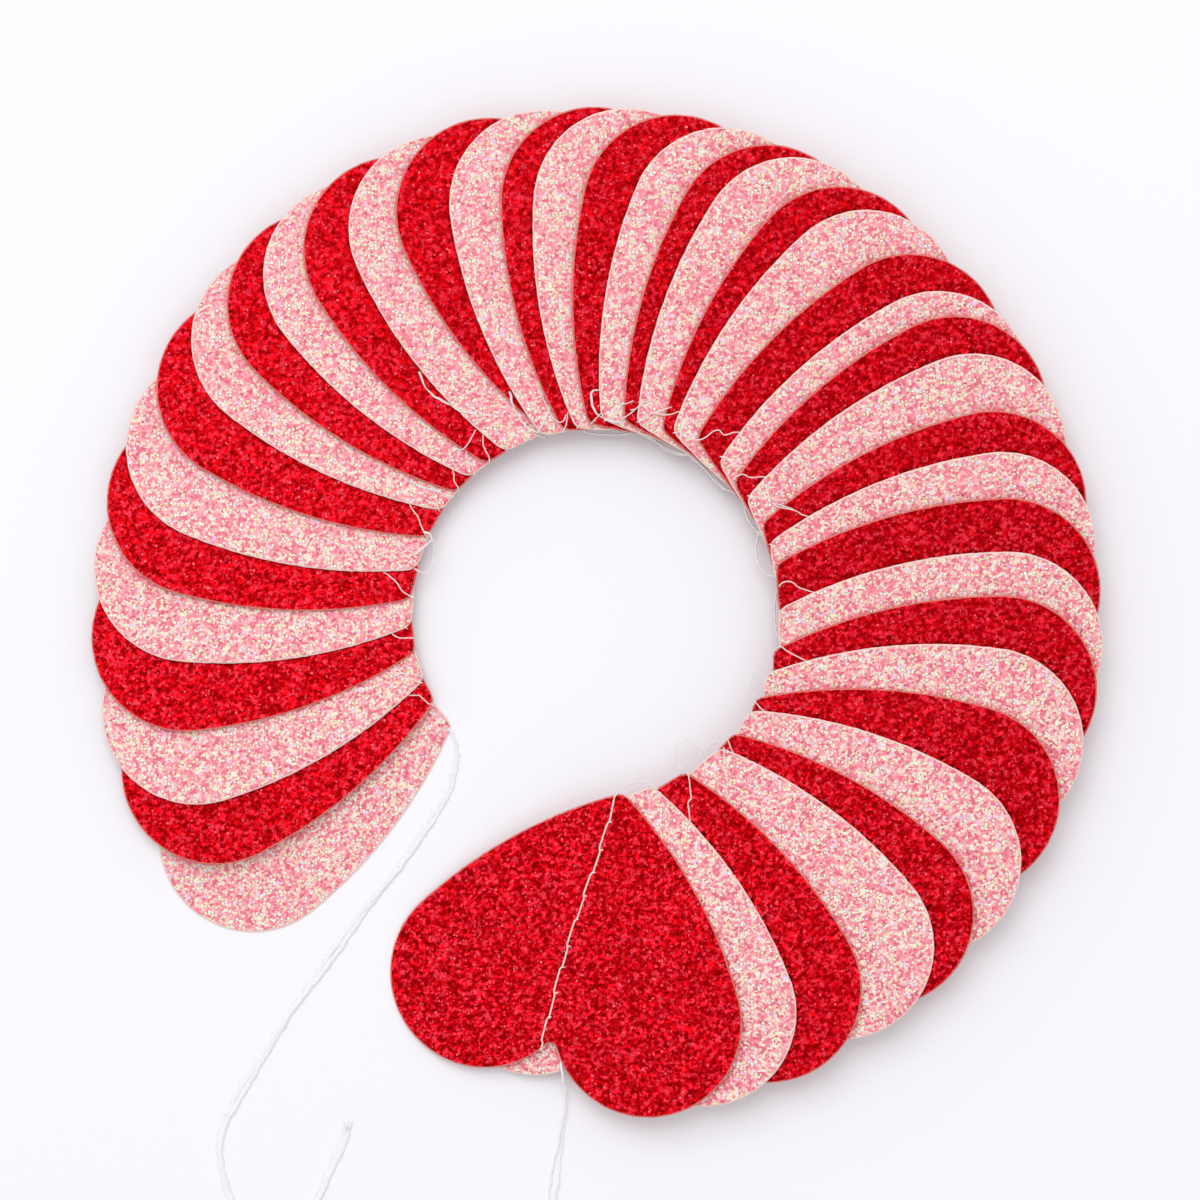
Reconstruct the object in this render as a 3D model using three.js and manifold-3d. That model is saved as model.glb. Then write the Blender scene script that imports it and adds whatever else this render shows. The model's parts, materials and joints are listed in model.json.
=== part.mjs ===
// A garland of forty punched glitter-card hearts, red and pink by turns, sewn down their middles into one string.
// It lies spread as a fan round an open ring: every heart rests one edge on the table and leans on the next one.
// Millimetres, +Z up. The origin is on the table, under the middle of the hearts.
import * as THREE from "three";
import { mergeVertices } from "three/addons/utils/BufferGeometryUtils.js";
import Module from "manifold-3d";

const wasm = await Module();
wasm.setup();

// One punched heart. Its axis is Y, its tip corner is at the origin, and its underside is at Z = 0.
const LOBE_RADIUS = 17;
const LOBE_SPACING = 30.6; // between the lobes' centres
const LOBE_HEIGHT = 38.2; // the lobes' centres above the tip corner
const SIDE_RADIUS = 86; // of the long bulge from the tip to a lobe
const TIP_RADIUS = 2.4;
const NOTCH_RADIUS = 1;
const CARD_THICKNESS = 0.4; // with its layer of glitter
const FACET_SAG = 0.09; // how far a facet may lie inside a true arc

// The seam, which stands proud of the card as a line of thread
const THREAD_WIDTH = 0.5;
const SEAM_RISE = 0.2;
const STITCH_COUNT = 10;
const STITCH_GAP = 0.7; // card between one stitch and the next, where the needle went through
const SEAM_MARGIN = 0.8; // bare card between the seam's ends and the card's edge

// The fan. Angles are in degrees, anticlockwise from +X, to the point HEART_MIDDLE up each heart's axis.
const RING_RADIUS = 32.8; // of the open middle, which the edge of every heart touches
const HEART_MIDDLE = 27;
const FIRST_AZIMUTH = -92;
const FAN_STEPS = [
  8, 10, 12, 7, 9.5, 9, 8.5, 7.5, 7.5, 9, 6.5, 6, 8.5, 6, 5, 7.5, 8, 4.5, 7.5, 4,
  6.5, 6, 6, 4.5, 7, 5.5, 8.5, 7, 6.5, 6.5, 7, 8.5, 9.5, 8.5, 9, 9.5, 10, 8.5, 10.5,
];
// How far a heart's axis leans clockwise from straight out: [heart, degrees], and evenly between those
const LEANS = [
  [0, 14], [3, 19], [5, 17], [6, 11], [8, 11], [10, 25], [14, 27], [16, 35],
  [18, 30], [21, 30], [23, 23], [25, 22], [26, 12], [27, 20], [31, 20], [34, 24], [39, 17],
];
const CARD_CLEARANCE = 0.08; // between one card and the next where they touch

// The settling of the stack
const STEEPEST_TILT = 40;
const TILT_HALVINGS = 14;
const SEAM_PROBES = 12; // places along a seam that a card above may rest on

// The two ends of the sewing thread. A route is [x, y, height of its underside] after its first point.
const START_TAIL_WIDTH = 0.7;
const START_TAIL_ROUTE = [
  [-7.1, -78.7, 3.1], [-6.4, -80.9, 3.1], [-5.8, -83.4, 2.3], [-5.4, -86, 1.1], [-5.4, -88.8, 0.4], [-5.8, -91.6, 0.1],
  [-6.3, -95], [-6.9, -98.6], [-7.4, -102.2], [-7.8, -105.6], [-7.9, -108.6],
];
const START_COIL = { turnsWidth: 8.4, bundleWidth: 2.1, bundleHeight: 1.5, steps: 20 };
const END_TAIL_WIDTH = 1.4;
const END_TAIL_ROUTE = [
  [-24.9, -23.6], [-25.2, -27.4], [-26.4, -31.8], [-28.5, -35.8], [-31.2, -40], [-34.6, -45], [-37.9, -49.2],
  [-41.2, -53.2], [-44.4, -57.6], [-47.6, -62.1], [-50.8, -66.5], [-54, -70.8], [-56.8, -75.2], [-59.6, -79.6],
  [-62.4, -84.2], [-64.8, -88.2], [-66.7, -91.8], [-67.6, -95.4], [-67.4, -99.2], [-66.4, -103.4],
  [-64.9, -107.8], [-62.2, -111.8], [-58, -113.6], [-54, -111.8], [-51.4, -108.2], [-49.6, -105],
  [-48.3, -101.8], [-46.9, -98.6], [-45.6, -96], [-44.9, -93.4],
];
const THREAD_SIDES = 8;
const TAIL_GAP = 0.3; // between a tail and the card or coil that it meets
const STEPS_PER_WIDTH = 0.4;

const COLOURS = { red: 0xb5101f, pink: 0xf3b5bb, thread: 0xf5f2ee };
const LAST_HEART = FAN_STEPS.length;

// Points along an arc, from one angle to another in radians, without its last point
function arcPoints(centre, radius, from, to) {
  const facet = 2 * Math.acos(1 - Math.min(FACET_SAG / radius, 0.5));
  const steps = Math.max(1, Math.ceil(Math.abs(to - from) / facet));
  return Array.from({ length: steps }, (_, i) => {
    const angle = from + ((to - from) * i) / steps;
    return new THREE.Vector2(centre.x + radius * Math.cos(angle), centre.y + radius * Math.sin(angle));
  });
}

const angleTo = (from, to) => Math.atan2(to.y - from.y, to.x - from.x);

// The heart's right-hand arcs and the two fillets on its axis, each tangent to its neighbours
function heartArcs() {
  const lobe = new THREE.Vector2(LOBE_SPACING / 2, LOBE_HEIGHT);
  // The side arc starts at the tip corner and touches the lobe from inside.
  const reach = lobe.length();
  const along = (reach ** 2 + SIDE_RADIUS ** 2 - (SIDE_RADIUS - LOBE_RADIUS) ** 2) / (2 * reach);
  const across = Math.sqrt(SIDE_RADIUS ** 2 - along ** 2);
  const outward = lobe.clone().normalize();
  const side = new THREE.Vector2(
    along * outward.x - across * outward.y,
    along * outward.y + across * outward.x,
  );
  const tip = new THREE.Vector2(0, side.y - Math.sqrt((SIDE_RADIUS - TIP_RADIUS) ** 2 - side.x ** 2));
  const notch = new THREE.Vector2(0, lobe.y + Math.sqrt((LOBE_RADIUS + NOTCH_RADIUS) ** 2 - lobe.x ** 2));
  return { lobe, side, tip, notch };
}

const ARCS = heartArcs();
const SEAM_START = ARCS.tip.y - TIP_RADIUS + SEAM_MARGIN;
const SEAM_END = ARCS.notch.y - NOTCH_RADIUS - SEAM_MARGIN;

// The whole outline, anticlockwise, as Vector2 points
function heartOutline() {
  const { lobe, side, tip, notch } = ARCS;
  const mirrored = (p) => new THREE.Vector2(-p.x, p.y);
  const sideFrom = angleTo(side, tip);
  const sideTo = angleTo(side, lobe);
  const lobeTo = angleTo(lobe, notch);
  return [
    ...arcPoints(side, SIDE_RADIUS, sideFrom, sideTo),
    ...arcPoints(lobe, LOBE_RADIUS, sideTo, lobeTo),
    ...arcPoints(notch, NOTCH_RADIUS, angleTo(notch, lobe), -Math.PI - angleTo(notch, lobe)),
    ...arcPoints(mirrored(lobe), LOBE_RADIUS, Math.PI - lobeTo, Math.PI - sideTo),
    ...arcPoints(mirrored(side), SIDE_RADIUS, Math.PI - sideTo, Math.PI - sideFrom),
    ...arcPoints(tip, TIP_RADIUS, -Math.PI - sideFrom, sideFrom),
  ];
}

function toSolid(geometry) {
  geometry.deleteAttribute("normal");
  geometry.deleteAttribute("uv");
  const merged = mergeVertices(geometry, 1e-4);
  return new wasm.Manifold(
    new wasm.Mesh({
      numProp: 3,
      vertProperties: merged.attributes.position.array,
      triVerts: new Uint32Array(merged.index.array),
    }),
  );
}

function toGeometry(solid) {
  const mesh = solid.getMesh();
  return new THREE.BufferGeometry()
    .setAttribute("position", new THREE.BufferAttribute(mesh.vertProperties, 3))
    .setIndex(new THREE.BufferAttribute(mesh.triVerts, 1));
}

// One stitch, pointed at both ends, from the middle of the card's thickness to the top of the seam
function stitchSolid(from, to) {
  const half = THREAD_WIDTH / 2;
  const shape = new THREE.Shape([
    new THREE.Vector2(0, from),
    new THREE.Vector2(half, from + THREAD_WIDTH),
    new THREE.Vector2(half, to - THREAD_WIDTH),
    new THREE.Vector2(0, to),
    new THREE.Vector2(-half, to - THREAD_WIDTH),
    new THREE.Vector2(-half, from + THREAD_WIDTH),
  ]);
  const depth = CARD_THICKNESS / 2 + SEAM_RISE;
  const geometry = new THREE.ExtrudeGeometry(shape, { depth, bevelEnabled: false });
  return toSolid(geometry.translate(0, 0, CARD_THICKNESS / 2));
}

// A card heart with its seam. A seam under other hearts is one line, and the top heart's shows each stitch.
function heartGeometry(stitches) {
  const card = new THREE.ExtrudeGeometry(new THREE.Shape(heartOutline()), {
    depth: CARD_THICKNESS,
    bevelEnabled: false,
  });
  const pitch = (SEAM_END - SEAM_START + STITCH_GAP) / stitches;
  let solid = toSolid(card);
  for (let i = 0; i < stitches; i++) {
    const from = SEAM_START + i * pitch;
    solid = solid.add(stitchSolid(from, from + pitch - STITCH_GAP));
  }
  return toGeometry(solid);
}

function leanOf(heart) {
  const next = LEANS.findIndex(([index]) => index >= heart);
  if (next <= 0) return LEANS[0][1];
  const [[from, low], [to, high]] = [LEANS[next - 1], LEANS[next]];
  return THREE.MathUtils.mapLinear(heart, from, to, low, high);
}

const OUTLINE = heartOutline();
const TIP_CORNER = new THREE.Vector3(0, ARCS.tip.y - TIP_RADIUS, 0);
const NOTCH_POINT = new THREE.Vector3(0, ARCS.notch.y - NOTCH_RADIUS, CARD_THICKNESS);
const at = (matrix, p, z = 0) => new THREE.Vector3(p.x, p.y, z).applyMatrix4(matrix);

// A heart laid flat: moved out along its azimuth until its edge just touches the ring's open middle
function flatPose(azimuth, lean) {
  const turn = THREE.MathUtils.degToRad(azimuth - lean - 90);
  const out = new THREE.Vector3(1, 0, 0).applyAxisAngle(new THREE.Vector3(0, 0, 1), THREE.MathUtils.degToRad(azimuth));
  const pose = (radius) =>
    new THREE.Matrix4()
      .makeTranslation(out.clone().multiplyScalar(radius))
      .multiply(new THREE.Matrix4().makeRotationZ(turn))
      .multiply(new THREE.Matrix4().makeTranslation(0, -HEART_MIDDLE, 0));
  let radius = RING_RADIUS + HEART_MIDDLE;
  for (let pass = 0; pass < 12; pass++) {
    const nearest = Math.min(...OUTLINE.map((p) => at(pose(radius), p).length()));
    radius += RING_RADIUS - nearest;
  }
  return pose(radius);
}

// The flat heart turned up about its lowest point, so that it rises anticlockwise along the ring
function tiltedPose(flat, degrees) {
  const middle = at(flat, new THREE.Vector2(0, HEART_MIDDLE));
  const rise = new THREE.Vector3(-middle.y, middle.x, 0).normalize();
  const points = OUTLINE.map((p) => at(flat, p));
  const hinge = points.reduce((low, p) => (p.dot(rise) < low.dot(rise) ? p : low));
  const hingeAxis = rise.clone().cross(new THREE.Vector3(0, 0, 1));
  return new THREE.Matrix4()
    .makeTranslation(hinge)
    .multiply(new THREE.Matrix4().makeRotationAxis(hingeAxis, THREE.MathUtils.degToRad(degrees)))
    .multiply(new THREE.Matrix4().makeTranslation(hinge.clone().negate()))
    .multiply(flat);
}

// A card in its place: its two faces' edges, its seam, and the height of a face over a point of the table
function placedCard(pose) {
  const normal = new THREE.Vector3().setFromMatrixColumn(pose, 2);
  const heightOf = (z) => {
    const origin = at(pose, new THREE.Vector2(), z);
    return (p) => origin.z - (normal.x * (p.x - origin.x) + normal.y * (p.y - origin.y)) / normal.z;
  };
  const seam = Array.from({ length: SEAM_PROBES }, (_, i) => {
    const y = THREE.MathUtils.lerp(SEAM_START, SEAM_END, i / (SEAM_PROBES - 1));
    return at(pose, new THREE.Vector2(0, y), CARD_THICKNESS + SEAM_RISE);
  });
  return {
    pose,
    seam,
    under: OUTLINE.map((p) => at(pose, p)),
    top: OUTLINE.map((p) => at(pose, p, CARD_THICKNESS)),
    underHeight: heightOf(0),
    topHeight: heightOf(CARD_THICKNESS),
  };
}

function isInside(p, polygon) {
  let inside = false;
  polygon.forEach((a, i) => {
    const b = polygon[(i + 1) % polygon.length];
    if (a.y > p.y !== b.y > p.y && p.x < a.x + ((p.y - a.y) * (b.x - a.x)) / (b.y - a.y)) inside = !inside;
  });
  return inside;
}

// Whether a card lies clear above another wherever one covers the other
function isClearOf(card, lower) {
  const covered = [...lower.top, ...lower.seam].filter((p) => isInside(p, card.under));
  const covering = card.under.filter((p) => isInside(p, lower.top));
  return (
    covered.every((p) => card.underHeight(p) >= p.z + CARD_CLEARANCE) &&
    covering.every((p) => p.z >= lower.topHeight(p) + CARD_CLEARANCE)
  );
}

// Lays the hearts from the bottom one up. Each gets the least tilt that clears the hearts beneath it.
function settledFan() {
  const azimuths = [FIRST_AZIMUTH];
  FAN_STEPS.forEach((step) => azimuths.push(azimuths.at(-1) + step));
  const cards = [];
  for (let heart = LAST_HEART; heart >= 0; heart--) {
    const flat = flatPose(azimuths[heart], leanOf(heart));
    const isClear = (tilt) => {
      const card = placedCard(tiltedPose(flat, tilt));
      return cards.every((lower) => isClearOf(card, lower));
    };
    let [blocked, clear] = [0, heart === LAST_HEART ? 0 : STEEPEST_TILT];
    for (let i = 0; i < TILT_HALVINGS; i++) {
      const tilt = (blocked + clear) / 2;
      if (isClear(tilt)) clear = tilt;
      else blocked = tilt;
    }
    cards.push(placedCard(tiltedPose(flat, clear)));
  }
  return cards.reverse();
}

function threadMaterial() {
  return new THREE.MeshStandardMaterial({ color: COLOURS.thread, roughness: 0.85, metalness: 0 });
}

// A plain round tube along a route of points
function tailMesh(name, points, width) {
  const path = new THREE.CatmullRomCurve3(points, false, "centripetal");
  const section = new THREE.Shape(
    Array.from({ length: THREAD_SIDES }, (_, i) => {
      const angle = (2 * Math.PI * i) / THREAD_SIDES;
      return new THREE.Vector2(Math.cos(angle), Math.sin(angle)).multiplyScalar(width / 2);
    }),
  );
  const steps = Math.ceil((path.getLength() / width) * STEPS_PER_WIDTH);
  const geometry = new THREE.ExtrudeGeometry(section, { steps, extrudePath: path, bevelEnabled: false });
  const mesh = new THREE.Mesh(geometry, threadMaterial());
  mesh.name = name;
  return mesh;
}

// Points at the height where a thread of this width has its underside
const routePoints = (route, width) => route.map(([x, y, z = 0]) => new THREE.Vector3(x, y, z + width / 2));

// The put-away length of the start tail: the outer form of a round coil, flat on the table
function coilMesh(name, centre) {
  const { turnsWidth, bundleWidth, bundleHeight, steps } = START_COIL;
  const [half, high, corner] = [bundleWidth / 2, bundleHeight, START_TAIL_WIDTH / 2];
  const profile = [
    [-half + corner, 0], [half - corner, 0], [half, corner], [half, high - corner],
    [half - corner, high], [-half + corner, high], [-half, high - corner], [-half, corner], [-half + corner, 0],
  ].map(([r, z]) => new THREE.Vector2(turnsWidth / 2 + r, z));
  const mesh = new THREE.Mesh(new THREE.LatheGeometry(profile, steps), threadMaterial());
  mesh.name = name;
  mesh.rotation.x = Math.PI / 2;
  mesh.position.copy(centre);
  return mesh;
}

const garland = new THREE.Group();
const fan = new THREE.Group();
garland.add(fan);

const cards = settledFan();
const plainHeart = heartGeometry(1);
const stitchedHeart = heartGeometry(STITCH_COUNT);
cards.forEach((card, heart) => {
  const color = heart % 2 === 0 ? COLOURS.red : COLOURS.pink;
  const material = new THREE.MeshStandardMaterial({ color, roughness: 0.45, metalness: 0.15 });
  const mesh = new THREE.Mesh(heart === 0 ? stitchedHeart : plainHeart, material);
  mesh.name = "heart_" + String(heart + 1).padStart(2, "0");
  mesh.applyMatrix4(card.pose);
  fan.add(mesh);
});

// The hearts' box is centred on the origin.
fan.updateMatrixWorld(true);
const middle = new THREE.Box3().setFromObject(fan, true).getCenter(new THREE.Vector3());
fan.position.set(-middle.x, -middle.y, 0);
fan.updateMatrixWorld(true);

const fromNotch = NOTCH_POINT.clone().add(new THREE.Vector3(0, TAIL_GAP, 0));
const startPoint = fan.localToWorld(fromNotch.applyMatrix4(cards[0].pose));
garland.add(
  tailMesh("start_tail", [startPoint, ...routePoints(START_TAIL_ROUTE, START_TAIL_WIDTH)], START_TAIL_WIDTH),
);

const [lastX, lastY] = START_TAIL_ROUTE.at(-1);
const coilReach = (START_COIL.turnsWidth + START_COIL.bundleWidth) / 2 + TAIL_GAP;
const sideways = START_COIL.turnsWidth / 2;
garland.add(
  coilMesh(
    "start_tail_coil",
    new THREE.Vector3(lastX - sideways, lastY - Math.sqrt(coilReach ** 2 - sideways ** 2), 0),
  ),
);

const fromTip = TIP_CORNER.clone().add(new THREE.Vector3(0, -TAIL_GAP - END_TAIL_WIDTH / 2, END_TAIL_WIDTH / 2));
const endPoint = fan.localToWorld(fromTip.applyMatrix4(cards[LAST_HEART].pose));
garland.add(tailMesh("end_tail", [endPoint, ...routePoints(END_TAIL_ROUTE, END_TAIL_WIDTH)], END_TAIL_WIDTH));

export default garland;
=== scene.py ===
"""A paper garland of forty glitter-card hearts, sewn into one string and laid as a fan round an open ring.

Sizes are in millimetres unless a name says otherwise, and are turned to metres where a mesh is placed.
"""

import json
import logging
import math
import random
from collections.abc import Callable, Sequence
from dataclasses import dataclass, field
from enum import Enum

import bmesh
import bpy
from mathutils import Matrix, Vector
from mathutils.bvhtree import BVHTree

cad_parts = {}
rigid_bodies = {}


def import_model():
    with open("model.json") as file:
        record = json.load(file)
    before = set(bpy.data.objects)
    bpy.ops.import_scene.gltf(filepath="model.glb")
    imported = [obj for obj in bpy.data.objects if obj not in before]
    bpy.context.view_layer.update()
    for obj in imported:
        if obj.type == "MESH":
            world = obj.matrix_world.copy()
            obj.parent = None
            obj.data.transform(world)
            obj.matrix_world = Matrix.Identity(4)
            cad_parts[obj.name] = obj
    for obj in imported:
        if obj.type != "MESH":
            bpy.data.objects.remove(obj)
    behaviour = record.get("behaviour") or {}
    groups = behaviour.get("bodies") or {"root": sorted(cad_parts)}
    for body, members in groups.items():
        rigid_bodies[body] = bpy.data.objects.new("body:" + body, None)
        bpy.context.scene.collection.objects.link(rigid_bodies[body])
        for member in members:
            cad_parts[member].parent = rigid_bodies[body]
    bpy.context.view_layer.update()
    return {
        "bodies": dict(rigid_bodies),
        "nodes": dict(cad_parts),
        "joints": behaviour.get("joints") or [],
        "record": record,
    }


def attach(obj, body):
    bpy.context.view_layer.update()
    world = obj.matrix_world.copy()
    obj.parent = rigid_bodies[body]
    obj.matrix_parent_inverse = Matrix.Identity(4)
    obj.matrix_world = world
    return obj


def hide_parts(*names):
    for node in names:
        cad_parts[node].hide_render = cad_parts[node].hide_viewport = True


log = logging.getLogger("garland")

MM = 0.001
UP = Vector((0.0, 0.0, 1.0))
HEART_COUNT = 40
# The photographed frame: its width at the height of the cards, its centre, and its width in its own units
FRAME_WIDTH = 214.56
FRAME_CENTRE = Vector((0.8, 2.15, 4.0))
FRAME_UNITS = 1200

Nodes = dict[str, dict[str, bpy.types.Object]]
Finishes = dict[str, bpy.types.Material]
Places = tuple[tuple[float, float], ...]


def linear(code: str) -> tuple[float, float, float, float]:
    """Turns an sRGB hex colour to linear light.

    Args:
        code: Six hex digits, with or without a hash sign.

    Returns:
        Red, green, blue and an alpha of one.
    """
    digits = code.lstrip("#")
    channels = []
    for start in (0, 2, 4):
        value = int(digits[start : start + 2], 16) / 255
        channels.append(value / 12.92 if value <= 0.04045 else ((value + 0.055) / 1.055) ** 2.4)
    return (channels[0], channels[1], channels[2], 1.0)


def add_node(
    tree: bpy.types.NodeTree,
    kind: str,
    settings: dict[str, object] | None = None,
    inputs: dict[str | int, object] | None = None,
) -> bpy.types.Node:
    """Adds a node with its settings, values and links.

    Args:
        tree: The node tree that gets the node.
        kind: The node's type name.
        settings: Properties of the node.
        inputs: A value for each named or numbered socket, or the output socket that feeds it.

    Returns:
        The new node.
    """
    node = tree.nodes.new(kind)
    for name, value in (settings or {}).items():
        setattr(node, name, value)
    for key, value in (inputs or {}).items():
        if isinstance(value, bpy.types.NodeSocket):
            tree.links.new(value, node.inputs[key])
        else:
            node.inputs[key].default_value = value
    return node


def new_material(name: str) -> tuple[bpy.types.Material, bpy.types.NodeTree]:
    """Makes a material with an empty node tree.

    Args:
        name: The material's name.

    Returns:
        The material and its node tree.
    """
    material = bpy.data.materials.new(name)
    material.use_nodes = True
    material.node_tree.nodes.clear()
    return material, material.node_tree


def finish_with(tree: bpy.types.NodeTree, shader: bpy.types.Node) -> None:
    """Links a shader to the material's output.

    Args:
        tree: The material's node tree.
        shader: The node whose first output is the surface.
    """
    add_node(tree, "ShaderNodeOutputMaterial", inputs={"Surface": shader.outputs[0]})


@dataclass(frozen=True)
class FlakeTone:
    """One of the tones that a glitter layer is mixed from, and the share of flakes below it."""

    share: float
    colour: str


@dataclass(frozen=True)
class GlitterFinish:
    """Polyester film flakes in clear glue on card: thousands of tiny mirrors, each turned its own way.

    Real flakes are 0.2 mm. They are drawn about twice as coarse, because that is how they clump and show.
    """

    name: str
    tones: tuple[FlakeTone, ...]
    # Painted glints: their colours, the colour of the painted shadow ring round each, how many there are and
    # their spacing
    glints: tuple[FlakeTone, ...]
    glint_shadow: str
    glint_share: float
    glint_size: float
    glint_drift: float = 0.8
    # How far a painted glint and its painted shadow ring reach, as shares of the glints' spacing, and how
    # sharply they end
    glint_reach: float = 0.46
    shadow_reach: float = 0.66
    glint_edge: float = 6.0
    flake: float = 0.45
    tilt: float = 0.6
    drift: float = 1.5
    drift_strength: float = 1.5
    metallic: float = 0.8
    roughness: float = 0.34
    ior: float = 1.5
    specular_level: float = 0.05

    def build(self) -> bpy.types.Material:
        """Makes the material, with a colour and a turn of its own for each flake."""
        material, tree = new_material(self.name)
        place = add_node(tree, "ShaderNodeTexCoord").outputs["Object"]
        flakes = add_node(
            tree,
            "ShaderNodeTexVoronoi",
            {"feature": "F1", "voronoi_dimensions": "3D"},
            {"Vector": place, "Scale": 1.0 / (self.flake * MM), "Randomness": 1.0},
        )
        parts = add_node(tree, "ShaderNodeSeparateColor", inputs={"Color": flakes.outputs["Color"]})
        drifts = add_node(
            tree,
            "ShaderNodeTexNoise",
            {"noise_dimensions": "3D"},
            {"Vector": place, "Scale": 1.0 / (self.drift * MM), "Detail": 2.0},
        )
        centred = add_node(
            tree,
            "ShaderNodeMath",
            {"operation": "SUBTRACT"},
            {0: drifts.outputs["Fac"], 1: 0.5},
        )
        pick = add_node(
            tree,
            "ShaderNodeMath",
            {"operation": "MULTIPLY_ADD", "use_clamp": True},
            {0: centred.outputs[0], 1: self.drift_strength, 2: parts.outputs["Red"]},
        )
        ramp = add_node(tree, "ShaderNodeValToRGB", inputs={"Fac": pick.outputs[0]})
        self.fill_ramp(ramp.color_ramp, self.tones)
        shader = add_node(
            tree,
            "ShaderNodeBsdfPrincipled",
            inputs={
                "Base Color": self.painted_glints(tree, place, centred.outputs[0], ramp.outputs["Color"]),
                "Metallic": self.metallic,
                "Roughness": self.roughness,
                "IOR": self.ior,
                "Specular IOR Level": self.specular_level,
                "Normal": self.turned_normal(tree, flakes.outputs["Color"]),
            },
        )
        finish_with(tree, shader)
        return material

    def painted_glints(
        self,
        tree: bpy.types.NodeTree,
        place: bpy.types.NodeSocket,
        drift: bpy.types.NodeSocket,
        under: bpy.types.NodeSocket,
    ) -> bpy.types.NodeSocket:
        """Paints glints into the colour: the few flakes that would catch the light get a painted highlight,
        each in its own small painted shadow.

        Args:
            tree: The material's node tree.
            place: The place on the card.
            drift: Where flakes crowd together, round about zero.
            under: The colour of the flakes round about.

        Returns:
            The colour with its glints.
        """
        spots = add_node(
            tree,
            "ShaderNodeTexVoronoi",
            {"feature": "F1", "voronoi_dimensions": "2D"},
            {"Vector": place, "Scale": 1.0 / (self.glint_size * MM), "Randomness": 1.0},
        )
        parts = add_node(tree, "ShaderNodeSeparateColor", inputs={"Color": spots.outputs["Color"]})
        crowded = add_node(
            tree,
            "ShaderNodeMath",
            {"operation": "MULTIPLY_ADD"},
            {0: drift, 1: self.glint_drift, 2: parts.outputs["Red"]},
        )
        chosen = add_node(
            tree,
            "ShaderNodeMath",
            {"operation": "GREATER_THAN"},
            {0: crowded.outputs[0], 1: 1.0 - self.glint_share},
        )
        glint = add_node(tree, "ShaderNodeValToRGB", inputs={"Fac": parts.outputs["Green"]})
        self.fill_ramp(glint.color_ramp, self.glints)
        colour = under
        # Each chosen flake gets a painted shadow ring, then a painted highlight in its middle
        layers = ((self.shadow_reach, linear(self.glint_shadow)), (self.glint_reach, glint.outputs["Color"]))
        for reach, tone in layers:
            near = add_node(
                tree,
                "ShaderNodeMath",
                {"operation": "MULTIPLY_ADD", "use_clamp": True},
                {0: spots.outputs["Distance"], 1: -self.glint_edge, 2: self.glint_edge * reach},
            )
            share = add_node(
                tree,
                "ShaderNodeMath",
                {"operation": "MULTIPLY"},
                {0: near.outputs[0], 1: chosen.outputs[0]},
            )
            # Of the Mix node's sockets, 6 and 7 are its two colours, and output 2 is the mixed one
            mixed = add_node(
                tree,
                "ShaderNodeMix",
                {"data_type": "RGBA"},
                {"Factor": share.outputs[0], 6: colour, 7: tone},
            )
            colour = mixed.outputs[2]
        return colour

    def fill_ramp(self, ramp: bpy.types.ColorRamp, tones: Sequence[FlakeTone]) -> None:
        """Puts flake tones on a ramp, each for its share of the flakes.

        Args:
            ramp: The colour ramp to fill.
            tones: The tones in order.
        """
        ramp.interpolation = "LINEAR"
        ramp.elements[0].position = tones[0].share
        ramp.elements[0].color = linear(tones[0].colour)
        ramp.elements[1].position = tones[-1].share
        ramp.elements[1].color = linear(tones[-1].colour)
        for tone in tones[1:-1]:
            element = ramp.elements.new(tone.share)
            element.color = linear(tone.colour)

    def turned_normal(self, tree: bpy.types.NodeTree, cell: bpy.types.NodeSocket) -> bpy.types.NodeSocket:
        """Turns the surface's normal by each flake's own random amount.

        Args:
            tree: The material's node tree.
            cell: The random colour of each flake.

        Returns:
            The turned normal.
        """
        normal = add_node(tree, "ShaderNodeNewGeometry").outputs["Normal"]
        centred = add_node(
            tree,
            "ShaderNodeVectorMath",
            {"operation": "SUBTRACT"},
            {0: cell, 1: (0.5, 0.5, 0.5)},
        )
        leaned = add_node(
            tree,
            "ShaderNodeVectorMath",
            {"operation": "MULTIPLY_ADD"},
            {0: centred.outputs[0], 1: (self.tilt, self.tilt, self.tilt), 2: normal},
        )
        level = add_node(tree, "ShaderNodeVectorMath", {"operation": "NORMALIZE"}, {0: leaned.outputs[0]})
        return level.outputs[0]


# Metallised red film: each flake's tone, from deep crimson to rose, is partly its own and partly painted
# light and shade, as if the flake turned away from the light or faced it
RED_GLITTER = GlitterFinish(
    name="red_film_glitter",
    tones=(
        FlakeTone(0.0, "960005"),
        FlakeTone(0.35, "bc040d"),
        FlakeTone(0.65, "da091a"),
        FlakeTone(0.82, "ee182c"),
        FlakeTone(0.92, "f8243a"),
        FlakeTone(1.0, "ff374d"),
    ),
    # Painted glints of light red, each in a painted shadow ring of darker red
    glints=(FlakeTone(0.0, "fb3148"), FlakeTone(0.6, "ff4a5d"), FlakeTone(1.0, "ff6a76")),
    glint_shadow="a00410",
    glint_share=0.07,
    glint_size=0.54,
    drift=1.0,
    drift_strength=2.2,
)

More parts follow.
